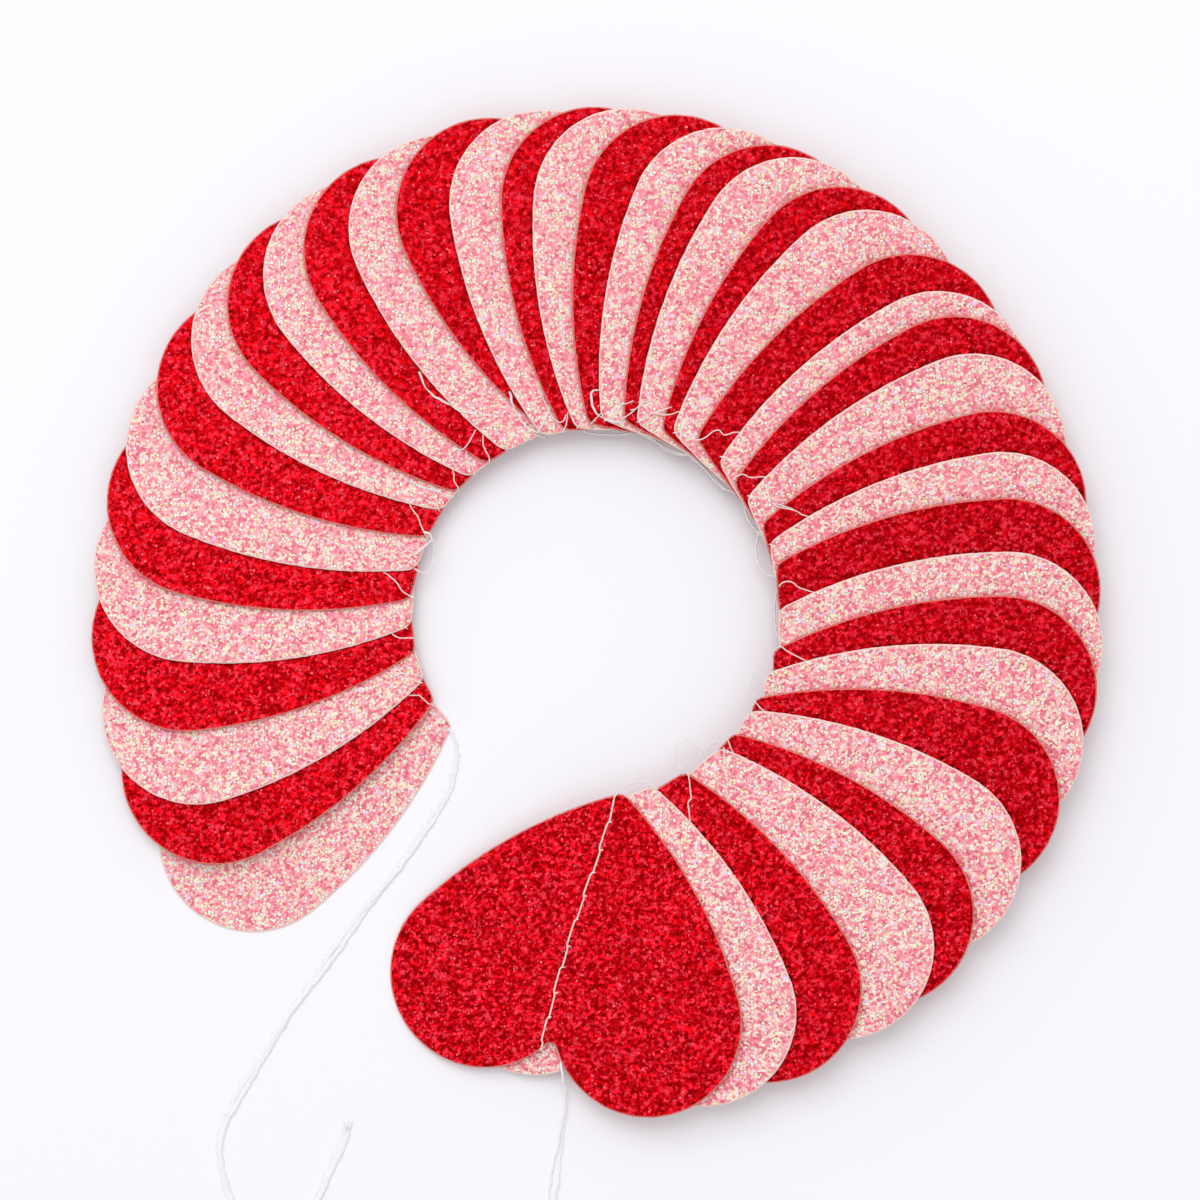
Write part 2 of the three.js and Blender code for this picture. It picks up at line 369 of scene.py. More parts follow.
# Iridescent film over pink card: the white, straw, green and lilac flakes among the pink are painted glints,
# iridescent flakes lit up and set into their colour
PINK_GLITTER = GlitterFinish(
    name="iridescent_pink_glitter",
    tones=(
        FlakeTone(0.0, "e86880"),
        FlakeTone(0.2, "f57f92"),
        FlakeTone(0.45, "fe9eaa"),
        FlakeTone(0.62, "ffb7bd"),
        FlakeTone(0.71, "ffdfcc"),
        FlakeTone(0.78, "fff6cc"),
        FlakeTone(0.815, "c6ac80"),
        FlakeTone(0.85, "ffffff"),
        FlakeTone(0.92, "f6f3b0"),
        FlakeTone(0.97, "ffffff"),
        FlakeTone(1.0, "f4cdf0"),
    ),
    # Painted glints of white, straw and lilac, each in a painted shadow ring of dull rose
    glints=(
        FlakeTone(0.0, "ffffff"),
        FlakeTone(0.45, "fffbe0"),
        FlakeTone(0.7, "fff5b8"),
        FlakeTone(0.85, "ffffff"),
        FlakeTone(1.0, "f2d8ff"),
    ),
    glint_shadow="cf9086",
    glint_share=0.15,
    glint_size=0.62,
    flake=0.44,
    drift_strength=1.0,
    metallic=0.0,
    roughness=0.3,
    specular_level=0.5,
)


@dataclass(frozen=True)
class FibrousFinish:
    """A matt finish of short fibres, which vary its tone and stand a little proud of each other."""

    name: str
    colour: str
    shade: str
    # The fibres' size, how fine they go, and where between them the shade and the full colour lie
    fibre: float
    detail: float
    coarseness: float
    shade_at: float
    colour_at: float
    relief: float
    depth: float
    roughness: float
    ior: float
    sheen: float

    def build(self) -> bpy.types.Material:
        """Makes the material, with fibres that vary its tone and its surface."""
        material, tree = new_material(self.name)
        place = add_node(tree, "ShaderNodeTexCoord").outputs["Object"]
        fibres = add_node(
            tree,
            "ShaderNodeTexNoise",
            {"noise_dimensions": "3D"},
            {
                "Vector": place,
                "Scale": 1.0 / (self.fibre * MM),
                "Detail": self.detail,
                "Roughness": self.coarseness,
            },
        )
        # The darker tone lies where the fibres are low, so it is partly painted shade in the hollows between
        # fibres and partly the fibres' own random tone
        tone = add_node(tree, "ShaderNodeValToRGB", inputs={"Fac": fibres.outputs["Fac"]})
        tone.color_ramp.elements[0].position = self.shade_at
        tone.color_ramp.elements[0].color = linear(self.shade)
        tone.color_ramp.elements[1].position = self.colour_at
        tone.color_ramp.elements[1].color = linear(self.colour)
        grain = add_node(
            tree,
            "ShaderNodeBump",
            inputs={"Strength": self.relief, "Distance": self.depth * MM, "Height": fibres.outputs["Fac"]},
        )
        shader = add_node(
            tree,
            "ShaderNodeBsdfPrincipled",
            inputs={
                "Base Color": tone.outputs["Color"],
                "Roughness": self.roughness,
                "IOR": self.ior,
                "Sheen Weight": self.sheen,
                "Normal": grain.outputs["Normal"],
            },
        )
        finish_with(tree, shader)
        return material


@dataclass(frozen=True)
class CutPaperFinish(FibrousFinish):
    """The bare core of card stock, as a punch cuts it: matt and faintly fibrous."""

    fibre: float = 0.35
    detail: float = 4.0
    coarseness: float = 0.65
    shade_at: float = 0.3
    colour_at: float = 0.65
    relief: float = 0.4
    depth: float = 0.03
    roughness: float = 0.9
    ior: float = 1.5
    sheen: float = 0.0


# A rose-red card core: a rosy line round each red heart. Its red partly paints in the red light that the red
# glitter throws on these cut edges
RED_CORE = CutPaperFinish(name="punched_red_card_core", colour="ec857c", shade="c4504e")

# Card stained by the pink glue: a pale line round each pink heart
PINK_CORE = CutPaperFinish(name="punched_pink_card_core", colour="f8ded8", shade="e4c2ba")


@dataclass(frozen=True)
class SpunThreadFinish(FibrousFinish):
    """White spun polyester sewing thread: matt, with a soft sheen and a faint fibrous grain."""

    fibre: float = 0.45
    detail: float = 3.0
    coarseness: float = 0.6
    shade_at: float = 0.32
    colour_at: float = 0.58
    relief: float = 0.5
    depth: float = 0.05
    roughness: float = 0.8
    ior: float = 1.55
    sheen: float = 0.3


# Slack that runs between and over the cards: a little duller and warmer than the loose thread, the warmth
# partly painting in the pink light that the cards throw on it
SEWN_THREAD = SpunThreadFinish(name="spun_polyester_thread", colour="f7f3f2", shade="ded7d6")

# The same thread drawn down onto the glitter, in a warmer colour that paints in the pink light the card
# under it throws on it
SEAM_THREAD = SpunThreadFinish(name="stitched_polyester_thread", colour="fbe8e3", shade="e2cbc5")

# Loose, brushed-up thread: nearly as white as the table, so that it shows by its shadow
LOOSE_THREAD = SpunThreadFinish(name="brushed_polyester_thread", colour="f8f7fa", shade="eeedf2", relief=0.2)


@dataclass(frozen=True)
class WhiteTableFinish:
    """A matt white laminate table, faintly cool."""

    name: str = "matt_white_laminate"
    colour: str = "f9f8fd"

    def build(self) -> bpy.types.Material:
        """Makes the material."""
        material, tree = new_material(self.name)
        shader = add_node(
            tree,
            "ShaderNodeBsdfPrincipled",
            inputs={"Base Color": linear(self.colour), "Roughness": 0.95, "Specular IOR Level": 0.1},
        )
        finish_with(tree, shader)
        return material


@dataclass(frozen=True)
class Arc:
    """Part of a heart's outline: an arc from one angle to another, in radians."""

    centre: Vector
    radius: float
    start: float
    end: float
    outward: float = 1.0

    @property
    def length(self) -> float:
        """The arc's length."""
        return abs(self.end - self.start) * self.radius

    def at(self, distance: float) -> tuple[Vector, Vector]:
        """Finds the point and the outward normal a distance along the arc.

        Args:
            distance: How far from the arc's start.

        Returns:
            The point and the normal.
        """
        angle = self.start + (self.end - self.start) * distance / self.length
        ray = Vector((math.cos(angle), math.sin(angle)))
        return self.centre + ray * self.radius, ray * self.outward


def angle_to(start: Vector, end: Vector) -> float:
    """Gives the direction from one point to another, in radians."""
    return math.atan2(end.y - start.y, end.x - start.x)


@dataclass(frozen=True)
class HeartOutline:
    """The punch's heart. Its axis is Y, and its tip points to the origin."""

    lobe_radius: float = 17.0
    lobe_spacing: float = 30.6
    lobe_height: float = 38.2
    side_radius: float = 86.0
    tip_radius: float = 2.4
    notch_radius: float = 1.0

    def arcs(self) -> list[Arc]:
        """Works out the right-hand arcs from the tip up to the notch, each tangent to the next.

        Returns:
            The tip's fillet, the side, the lobe and the notch's fillet.
        """
        lobe = Vector((self.lobe_spacing / 2, self.lobe_height))
        reach = lobe.length
        inner = self.side_radius - self.lobe_radius
        along = (reach**2 + self.side_radius**2 - inner**2) / (2 * reach)
        across = math.sqrt(self.side_radius**2 - along**2)
        outward = lobe.normalized()
        side = Vector((along * outward.x - across * outward.y, along * outward.y + across * outward.x))
        tip = Vector((0.0, side.y - math.sqrt((self.side_radius - self.tip_radius) ** 2 - side.x**2)))
        notch = Vector((0.0, lobe.y + math.sqrt((self.lobe_radius + self.notch_radius) ** 2 - lobe.x**2)))
        return [
            Arc(tip, self.tip_radius, -math.pi / 2, angle_to(side, tip)),
            Arc(side, self.side_radius, angle_to(side, tip), angle_to(side, lobe)),
            Arc(lobe, self.lobe_radius, angle_to(side, lobe), angle_to(lobe, notch)),
            Arc(notch, self.notch_radius, angle_to(notch, lobe), -math.pi / 2, -1.0),
        ]

    def samples(self, count: int) -> list[tuple[Vector, Vector]]:
        """Walks the right-hand outline in even steps.

        Args:
            count: The number of points, the tip and the notch among them.

        Returns:
            Each point with its outward normal.
        """
        arcs = self.arcs()
        whole = sum(arc.length for arc in arcs)
        found = []
        for step in range(count):
            distance = whole * step / (count - 1)
            for arc in arcs:
                if distance <= arc.length or arc is arcs[-1]:
                    found.append(arc.at(min(distance, arc.length)))
                    break
                distance -= arc.length
        return found

    @property
    def tip(self) -> float:
        """The tip's place on the axis."""
        return self.arcs()[0].at(0.0)[0].y

    @property
    def notch(self) -> float:
        """The notch's place on the axis."""
        last = self.arcs()[-1]
        return last.at(last.length)[0].y


OUTLINE = HeartOutline()


def card_pose(node: bpy.types.Object) -> Matrix:
    """Reads where a heart of the frame lies, from its own solid.

    Args:
        node: The frame's solid of one heart.

    Returns:
        The matrix from the card's own millimetres to the frame's metres.
    """
    shell = bmesh.new()
    shell.from_mesh(node.data)
    bmesh.ops.remove_doubles(shell, verts=shell.verts[:], dist=1e-6)
    normal = max(shell.faces, key=lambda face: face.calc_area()).normal.copy()
    if normal.z < 0:
        normal.negate()
    points = [vert.co.copy() for vert in shell.verts]
    shell.free()
    centre = sum(points, Vector()) / len(points)
    first = normal.cross(Vector((0.0, 1.0, 0.0))).normalized()
    second = normal.cross(first)
    spread = [0.0, 0.0, 0.0]
    for point in points:
        across, along = (point - centre).dot(first), (point - centre).dot(second)
        spread[0] += across * across
        spread[1] += along * along
        spread[2] += across * along
    turn = 0.5 * math.atan2(2 * spread[2], spread[0] - spread[1])
    one = first * math.cos(turn) + second * math.sin(turn)
    other = normal.cross(one)
    outward = Vector((centre.x, centre.y, 0.0))
    axis = max((one, -one, other, -other), key=lambda ray: ray.dot(outward))
    side = axis.cross(normal)
    low = min(point.dot(axis) for point in points)
    floor = min(point.dot(normal) for point in points)
    sides = [point.dot(side) for point in points]
    middle = (min(sides) + max(sides)) / 2
    origin = side * middle + axis * (low - OUTLINE.tip * MM) + normal * floor
    pose = Matrix.Identity(4)
    for column, ray in enumerate((side, axis, normal)):
        for row in range(3):
            pose[row][column] = ray[row] * MM
    for row in range(3):
        pose[row][3] = origin[row]
    return pose


def mesh_object(name: str, shape: bmesh.types.BMesh) -> bpy.types.Object:
    """Turns a finished bmesh into an object at the origin.

    Args:
        name: The piece's name.
        shape: The bmesh, which is freed.

    Returns:
        The new object.
    """
    mesh = bpy.data.meshes.new(name)
    shape.to_mesh(mesh)
    shape.free()
    piece = bpy.data.objects.new(name, mesh)
    bpy.context.scene.collection.objects.link(piece)
    return piece


class CardColour(Enum):
    """The two glitter cards, by the frame's material slot."""

    RED = "red_card"
    PINK = "pink_card"


@dataclass
class GlitterCard:
    """One punched heart of glitter card."""

    number: int
    colour: CardColour
    rows: int = 28
    steps: int = 120
    # The glitter's top, how far its rim stays inside the cut edge, and how low it reaches
    glitter_height: float = 0.36
    glitter_inset: float = 0.29
    glitter_floor: float = 0.31
    grain: float = 0.035
    # How ragged the cut edge is, and the heights between which it is ragged
    rag: float = 0.05
    rag_floor: float = 0.05
    rag_top: float = 0.33
    # The cut edge, from the glitter's rim down to the underside: inset and height
    rim: Places = ((0.25, 0.31), (0.03, 0.19), (0.0, 0.08), (0.06, 0.0))

    @property
    def node(self) -> str:
        """The frame's node that this card replaces."""
        return f"heart_{self.number:02d}"

    def half(self) -> bmesh.types.BMesh:
        """Makes the right half: a grid stretched from the axis to the outline, and down its cut edge.

        Returns:
            The half card, open underneath, in its own millimetres.
        """
        shape = bmesh.new()
        columns = self.rows + len(self.rim)
        bmesh.ops.create_grid(shape, x_segments=columns, y_segments=self.steps - 1, size=1.0)
        outline = OUTLINE.samples(self.steps)
        for vert in shape.verts:
            column = round((vert.co.x + 1) / 2 * columns)
            step = round((vert.co.y + 1) / 2 * (self.steps - 1))
            edge, normal = outline[step]
            if column <= self.rows:
                share = step / (self.steps - 1)
                on_axis = Vector((0.0, OUTLINE.tip + (OUTLINE.notch - OUTLINE.tip) * share))
                rim = edge - normal * self.glitter_inset
                spot = on_axis.lerp(rim, column / self.rows)
                height = self.glitter_height
            else:
                inset, height = self.rim[column - self.rows - 1]
                spot = edge - normal * inset
            vert.co = Vector((max(spot.x, 0.0), spot.y, height))
        return shape

    def build(self, frame: Nodes, finishes: Finishes) -> bpy.types.Object:
        """Builds the card where the frame's heart lies, and dresses it.

        Args:
            frame: The loaded frame.
            finishes: The materials by name.

        Returns:
            The card.
        """
        shape = self.half()
        everything = shape.verts[:] + shape.edges[:] + shape.faces[:]
        bmesh.ops.mirror(shape, geom=everything, matrix=Matrix.Identity(4), merge_dist=1e-4, axis="X")
        bmesh.ops.remove_doubles(shape, verts=shape.verts[:], dist=1e-3)
        rim = [edge for edge in shape.edges if edge.is_boundary]
        bmesh.ops.contextual_create(shape, geom=rim)
        bmesh.ops.recalc_face_normals(shape, faces=shape.faces[:])
        self.roughen(shape)
        for face in shape.faces:
            is_glitter = face.calc_center_median().z > self.glitter_floor and face.normal.z > 0.3
            face.material_index = 0 if is_glitter else 1
        bmesh.ops.triangulate(shape, faces=shape.faces[:], quad_method="ALTERNATE", ngon_method="BEAUTY")
        bmesh.ops.transform(shape, matrix=card_pose(frame["nodes"][self.node]), verts=shape.verts[:])
        card = mesh_object(f"card_{self.node}", shape)
        card.data.materials.append(finishes[self.colour.value])
        card.data.materials.append(finishes[f"{self.colour.value}_core"])
        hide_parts(self.node)
        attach(card, "root")
        return card

    def roughen(self, shape: bmesh.types.BMesh) -> None:
        """Gives the glitter its uneven surface and the cut edge its slight raggedness.

        Args:
            shape: The card in its own millimetres.
        """
        chance = random.Random(self.number)
        for vert in shape.verts:
            if vert.co.z > self.glitter_floor:
                vert.co.z += chance.uniform(-self.grain, self.grain)
            if self.rag_floor < vert.co.z < self.rag_top:
                vert.co.x += chance.uniform(-self.rag, self.rag)
                vert.co.y += chance.uniform(-self.rag, self.rag)


def smooth_route(points: Sequence[Vector], step: float) -> list[Vector]:
    """Draws a centripetal Catmull-Rom curve through points, in even steps.

    Args:
        points: The points that the curve passes through.
        step: The distance between the points of the result.

    Returns:
        Points along the curve.
    """
    parts = 12
    ends = [points[0] * 2 - points[1], *points, points[-1] * 2 - points[-2]]
    dense = []
    for before, start, end, after in zip(ends, ends[1:], ends[2:], ends[3:]):
        knots = [0.0]
        for one, other in ((before, start), (start, end), (end, after)):
            knots.append(knots[-1] + max((other - one).length, 1e-6) ** 0.5)
        for part in range(parts):
            t = knots[1] + (knots[2] - knots[1]) * part / parts
            a1 = before.lerp(start, (t - knots[0]) / (knots[1] - knots[0]))
            a2 = start.lerp(end, (t - knots[1]) / (knots[2] - knots[1]))
            a3 = end.lerp(after, (t - knots[2]) / (knots[3] - knots[2]))
            b1 = a1.lerp(a2, (t - knots[0]) / (knots[2] - knots[0]))
            b2 = a2.lerp(a3, (t - knots[1]) / (knots[3] - knots[1]))
            dense.append(b1.lerp(b2, (t - knots[1]) / (knots[2] - knots[1])))
    dense.append(points[-1].copy())
    return even_steps(dense, step)


def even_steps(points: Sequence[Vector], step: float) -> list[Vector]:
    """Spaces points evenly along a line of points.

    Args:
        points: The line.
        step: The distance wanted between points.

    Returns:
        The spaced points, with both ends of the line among them.
    """
    lengths = [0.0]
    for one, other in zip(points, points[1:]):
        lengths.append(lengths[-1] + (other - one).length)
    count = max(2, round(lengths[-1] / step) + 1)
    spaced = []
    segment = 0
    for index in range(count):
        wanted = lengths[-1] * index / (count - 1)
        while segment < len(points) - 2 and lengths[segment + 1] < wanted:
            segment += 1
        span = lengths[segment + 1] - lengths[segment]
        share = (wanted - lengths[segment]) / span if span else 0.0
        spaced.append(points[segment].lerp(points[segment + 1], min(max(share, 0.0), 1.0)))
    return spaced


@dataclass
class Strands:
    """Lengths of thread, gathered as round lines and made one mesh."""

    sides: int = 3
    lines: list[tuple[list[Vector], list[float]]] = field(default_factory=list)

    def add(self, points: Sequence[Vector], width: float | Callable[[float], float]) -> None:
        """Adds one length of thread.

        Args:
            points: The thread's middle line, in millimetres.
            width: The thread's width, or the width at each share of its length.
        """
        last = len(points) - 1
        radii = []
        for index in range(len(points)):
            value = width(index / last) if callable(width) else width
            radii.append(value / 2)
        self.lines.append((list(points), radii))

    def build(self, name: str, material: bpy.types.Material) -> bpy.types.Object:
        """Makes the gathered lengths one mesh piece.

        Args:
            name: The piece's name.
            material: Its finish.

        Returns:
            The piece.
        """
        curve = bpy.data.curves.new(name, "CURVE")
        curve.dimensions = "3D"
        curve.bevel_depth = MM
        curve.bevel_resolution = self.sides
        curve.use_fill_caps = True
        for points, radii in self.lines:
            spline = curve.splines.new("POLY")
            spline.points.add(len(points) - 1)
            for place, point, radius in zip(spline.points, points, radii):
                place.co = (*(point * MM), 1.0)
                place.radius = radius
        drawn = bpy.data.objects.new(name + "_line", curve)
        bpy.context.scene.collection.objects.link(drawn)
        graph = bpy.context.evaluated_depsgraph_get()
        mesh = bpy.data.meshes.new_from_object(drawn.evaluated_get(graph))
        bpy.data.objects.remove(drawn)
        bpy.data.curves.remove(curve)
        mesh.name = name
        piece = bpy.data.objects.new(name, mesh)
        bpy.context.scene.collection.objects.link(piece)
        mesh.materials.clear()
        mesh.materials.append(material)
        for face in mesh.polygons:
            face.use_smooth = True
        return piece


def twisted_pair(
    route: Sequence[Vector],
    width: float,
    apart: Callable[[float], float],
    pitch: float,
    seed: int,
) -> list[list[Vector]]:
    """Lays two strands round a middle line, loosely twisted and never below the table.

    Args:
        route: The middle line, in even steps.
        width: Each strand's width.
        apart: How far each strand lies from the middle line, by the share of the length.
        pitch: The length of one turn of the twist.
        seed: For the small bends that differ.

    Returns:
        The two strands' middle lines.
    """
    # Small bends of four wavelengths, each with its own size and start
    first_bend, bend_step, bends = 1.1, 0.7, 4
    # The pair's twist is half as high as it is wide, because it lies on something
    flat = 0.5
    chance = random.Random(seed)
    phase = chance.uniform(0, math.tau)
    waves = [(chance.uniform(0.02, 0.06), chance.uniform(0, math.tau)) for _ in range(bends)]
    strands: list[list[Vector]] = [[], []]
    travelled = 0.0
    for index, point in enumerate(route):
        ahead = route[min(index + 1, len(route) - 1)] - route[max(index - 1, 0)]
        across = Vector((-ahead.y, ahead.x, 0.0)).normalized()
        rise = across.cross(ahead.normalized()) * -1
        if index:
            travelled += (point - route[index - 1]).length
        share = index / (len(route) - 1)
        angle = phase + math.tau * travelled / pitch
        gap = apart(share)
        wander = 0.0
        for order, (size, start) in enumerate(waves):
            wander += size * math.sin(travelled * (first_bend + bend_step * order) + start)
        for side, strand in zip((1, -1), strands):
            offset = (across * math.cos(angle) + rise * math.sin(angle) * flat) * gap * side
            spot = point + offset + across * wander
            spot.z = max(spot.z, width / 2)
            strand.append(spot)
    return strands


@dataclass
class Fuzz:
    """Stray fibres that stand off a spun thread."""

    spacing: float = 0.6
    reach: float = 0.45
    width: float = 0.05

    def grow(self, strands: Strands, line: Sequence[Vector], thread: float, seed: int) -> None:
        """Adds short curved fibres along a thread.

        Args:
            strands: The gathered lengths that get the fibres.
            line: The thread's middle line.
            thread: The thread's width.
            seed: For the fibres' places.
        """
        chance = random.Random(seed)
        travelled, due = 0.0, 0.0
        for one, other in zip(line, line[1:]):
            travelled += (other - one).length
            if travelled < due:
                continue
            due = travelled + chance.uniform(0.3, 1.7) * self.spacing
            along = (other - one).normalized()
            turn = Matrix.Rotation(chance.uniform(0.0, math.tau), 3, along)
            away = turn @ along.orthogonal().normalized()
            if away.z < -0.2:
                away.z = -away.z
            reach = chance.uniform(0.4, 1.0) * self.reach
            lean = along * chance.uniform(-1.0, 1.0) * reach
            root = other + away * thread * 0.3
            fibre = [root, root + away * reach * 0.6 + lean * 0.4, root + away * reach + lean]
            for point in fibre:
                point.z = max(point.z, self.width / 2)
            strands.add(fibre, self.width)


# The length of one turn of a tail's two strands about each other
TAIL_TWIST = 60.0


@dataclass
class StartTail:
    """The loose end of doubled thread that leaves the top heart's notch and runs to a small tied coil."""

    strand: float = 0.36
    width: float = 0.7
    length: float = 180.0
    # From beneath the top card, over the next one's edge and down to the table, at the thread's underside
    route: tuple[tuple[float, float, float], ...] = (
        (-5.2, -77.4, 3.1), (-5.6, -79.1, 3.04), (-6.1, -80.8, 3.0), (-6.0, -82.2, 2.85),
        (-5.7, -84.0, 2.1), (-5.4, -86.0, 1.1), (-5.4, -88.8, 0.4), (-5.8, -91.6, 0.1),
        (-6.3, -95.0, 0.0), (-6.9, -98.6, 0.0), (-7.4, -102.2, 0.0), (-7.8, -105.6, 0.0),
    )
    coil_centre: tuple[float, float] = (-12.1, -112.2)
    coil_width: float = 8.4
    # The way from the route's end into the coil's first turn
    coil_entry: float = 3.4
    # Where each turn lies in the bundle: outwards from its middle, and up
    lanes: Places = ((0.68, 0.0), (0.0, 0.0), (-0.68, 0.0), (-0.34, 0.58), (0.34, 0.58), (0.0, 0.8))
    # The share of a turn for which it keeps its lane before it crosses to the next
    lane_share: float = 0.7
    steps_per_turn: int = 28
    # The tie's place round the coil in degrees, its turns, its thread, and its reach outwards, up and along
    tie_angle: float = 200.0
    tie_turns: int = 3
    tie_thread: float = 0.3
    tie_reach: tuple[float, float, float] = (1.2, 0.78, 1.1)
    tie_height: float = 0.7
    # Where the strands part most along the loose stretch, and over what length
    parting: float = 27.0
    parting_length: float = 7.0

    def middle_line(self) -> list[Vector]:
        """Draws the thread from beneath the top card, beside its notch, to the coil and round its turns.

        Returns:
            The middle line.
        """
        points = [Vector((x, y, z + self.width / 2)) for x, y, z in self.route]
        lead = sum((other - one).length for one, other in zip(points, points[1:]))
        turns = (self.length - lead - self.coil_entry) / (math.pi * self.coil_width)
        centre = Vector((*self.coil_centre, self.width / 2))
        for step in range(round(turns * self.steps_per_turn)):
            turn = step / self.steps_per_turn
            here = self.lanes[min(int(turn), len(self.lanes) - 1)]
            after = self.lanes[min(int(turn) + 1, len(self.lanes) - 1)]
            ease = max(0.0, (turn % 1 - self.lane_share) / (1 - self.lane_share))
            ease = ease * ease * (3 - 2 * ease)
            out = here[0] + (after[0] - here[0]) * ease
            lift = here[1] + (after[1] - here[1]) * ease
            ray = Vector((math.cos(math.tau * turn), -math.sin(math.tau * turn), 0.0))
            points.append(centre + ray * (self.coil_width / 2 + out) + UP * lift)
        return smooth_route(points, 0.5)

    def tie(self) -> Strands:
        """Winds a short piece of thread round the coil's bundle, with two small ends.

        Returns:
            The tie's line.
        """
        angle = math.radians(self.tie_angle)
        ray = Vector((math.cos(angle), math.sin(angle), 0.0))
        along = Vector((-ray.y, ray.x, 0.0))
        middle = Vector((*self.coil_centre, self.tie_height)) + ray * self.coil_width / 2
        outward, upward, spread = self.tie_reach
        steps = 20 * self.tie_turns
        points = []
        for step in range(steps + 1):
            turn = math.tau * self.tie_turns * step / steps
            offset = ray * math.cos(turn) * outward + UP * math.sin(turn) * upward
            points.append(middle + offset + along * (step / steps - 0.5) * spread)
        for point in points:
            point.z = max(point.z, self.tie_thread / 2)
        first = [points[0] + ray * 1.9 - along * 0.9 - UP * 0.5, points[0] + ray * 0.8 - along * 0.2]
        last = [points[-1] + ray * 0.8 + along * 0.2, points[-1] + ray * 2.2 + along * 0.7 - UP * 0.5]
        strands = Strands()
        strands.add(smooth_route(first + points + last, 0.3), self.tie_thread)
        return strands

    def build(self, finish: bpy.types.Material) -> bpy.types.Object:
        """Builds the two strands and the coil's tie.

        Args:
            finish: The thread's material.

        Returns:
            The tail.
        """
        middle = self.middle_line()

        def apart(share: float) -> float:
            """Lets the strands part along the loose stretch and holds them together in the coil."""
            travelled = share * self.length
            return 0.2 + 0.55 * math.exp(-(((travelled - self.parting) / self.parting_length) ** 2))

        strands = Strands()
        fuzz = Fuzz()
        for index, line in enumerate(twisted_pair(middle, self.strand, apart, TAIL_TWIST, seed=5)):
            strands.add(line, self.strand)
            fuzz.grow(strands, line, self.strand, seed=50 + index)
        tail = strands.build("start_tail_thread", finish)
        tie = self.tie().build("start_tail_tie", finish)
        for piece in (tail, tie):
            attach(piece, "root")
        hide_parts("start_tail", "start_tail_coil")
        return tail


@dataclass
class EndTail:
    """The loose end of two fluffy strands that leaves the bottom heart's tip, turns and ends frayed."""

    strand: float = 0.95
    width: float = 1.4
    length: float = 136.0
    # How high the loose fibres lie, as a low dome, against the top half of a round thread
    flatness: float = 0.8
    # The strands' size at the tip against their full size, and the length over which they swell
    tight: float = 0.4
    swelling: float = 30.0
    frays: int = 6
    fray_width: float = 0.09
    route: Places = (
        (-25.3, -23.0), (-25.0, -26.6), (-26.0, -31.4), (-28.4, -35.8), (-31.2, -40.0), (-34.6, -45.0),
        (-37.9, -49.2), (-41.2, -53.2), (-44.4, -57.6), (-47.6, -62.1), (-50.8, -66.5), (-54.0, -70.8),
        (-56.8, -75.2), (-59.6, -79.6), (-62.4, -84.2), (-64.8, -88.2), (-66.7, -91.8), (-67.6, -95.4),
        (-67.4, -99.2), (-66.4, -103.4), (-64.9, -107.8), (-62.2, -111.8), (-58.0, -113.6), (-54.0, -111.8),
        (-51.4, -108.2), (-49.6, -105.0), (-48.3, -101.8), (-46.9, -98.6), (-45.6, -96.0), (-44.9, -93.4),
    )

    def build(self, start: Vector, finish: bpy.types.Material) -> bpy.types.Object:
        """Builds the two strands, their stray fibres and the frayed end.

        Args:
            start: Where the thread leaves the tip.
            finish: The thread's material.

        Returns:
            The tail.
        """
        points = [start + UP * self.strand / 2]
        points.extend(Vector((x, y, self.strand / 2)) for x, y in self.route)
        middle = smooth_route(points, 0.6)

        def swell(share: float) -> float:
            """Gives how far the fibres have opened, from tight at the tip."""
            return self.tight + (1.0 - self.tight) * min(1.0, share * self.length / self.swelling)

        def apart(share: float) -> float:
            """Lets the strands lie closer and wider apart by turns."""
            return swell(share) * (0.36 + 0.06 * math.sin(share * 23.0) + 0.03 * math.sin(share * 57.0))

        def bulk(share: float) -> float:
            """Gives a strand's width, which swells and thins a little with its twist."""
            return self.strand * swell(share) * (1.0 + 0.06 * math.sin(share * 190.0))

        strands = Strands()
        fluff = Strands(sides=0)
        fuzz = Fuzz(spacing=0.11, reach=0.75, width=0.045)
        for index, line in enumerate(twisted_pair(middle, self.strand, apart, TAIL_TWIST, seed=8)):
            strands.add(line, bulk)
            fuzz.grow(fluff, line, self.strand, seed=80 + index)
            self.fray(fluff, line, seed=90 + index)
        tail = strands.build("end_tail_thread", finish)
        brushed = fluff.build("end_tail_fluff", finish)
        for vert in tail.data.vertices:
            vert.co.z = self.settled(vert.co.z / MM) * MM
        for vert in brushed.data.vertices:
            vert.co.z *= self.flatness / 2
        for piece in (tail, brushed):
            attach(piece, "root")
        for point in middle:
            point.z = self.settled(point.z + self.strand / 4)
        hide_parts("end_tail")
        return tail

    def settled(self, height: float) -> float:
        """Gives a height on a round thread its height once the thread has settled to a low dome."""
        return max(0.0, height - self.strand / 2) * self.flatness + height * 0.04

    def fray(self, strands: Strands, line: Sequence[Vector], seed: int) -> None:
        """Opens a strand's cut end into a few loose fibres.

        Args:
            strands: The gathered lengths that get the fibres.
            line: The strand's middle line.
            seed: For the fibres' directions.
        """
        chance = random.Random(seed)
        end = line[-1]
        ahead = (end - line[-4]).normalized()
        across = Vector((-ahead.y, ahead.x, 0.0))
        for _ in range(self.frays):
            spread = chance.uniform(-0.7, 0.7)
            reach = chance.uniform(0.8, 2.2)
            bend = chance.uniform(-0.4, 0.4)
            fibre = [
                end - ahead * 0.4,
                end + ahead * reach * 0.5 + across * spread * 0.4,
                end + ahead * reach + across * (spread + bend),
            ]
            for point in fibre:
                point.z = chance.uniform(0.3, 0.8)
            strands.add(fibre, self.fray_width)


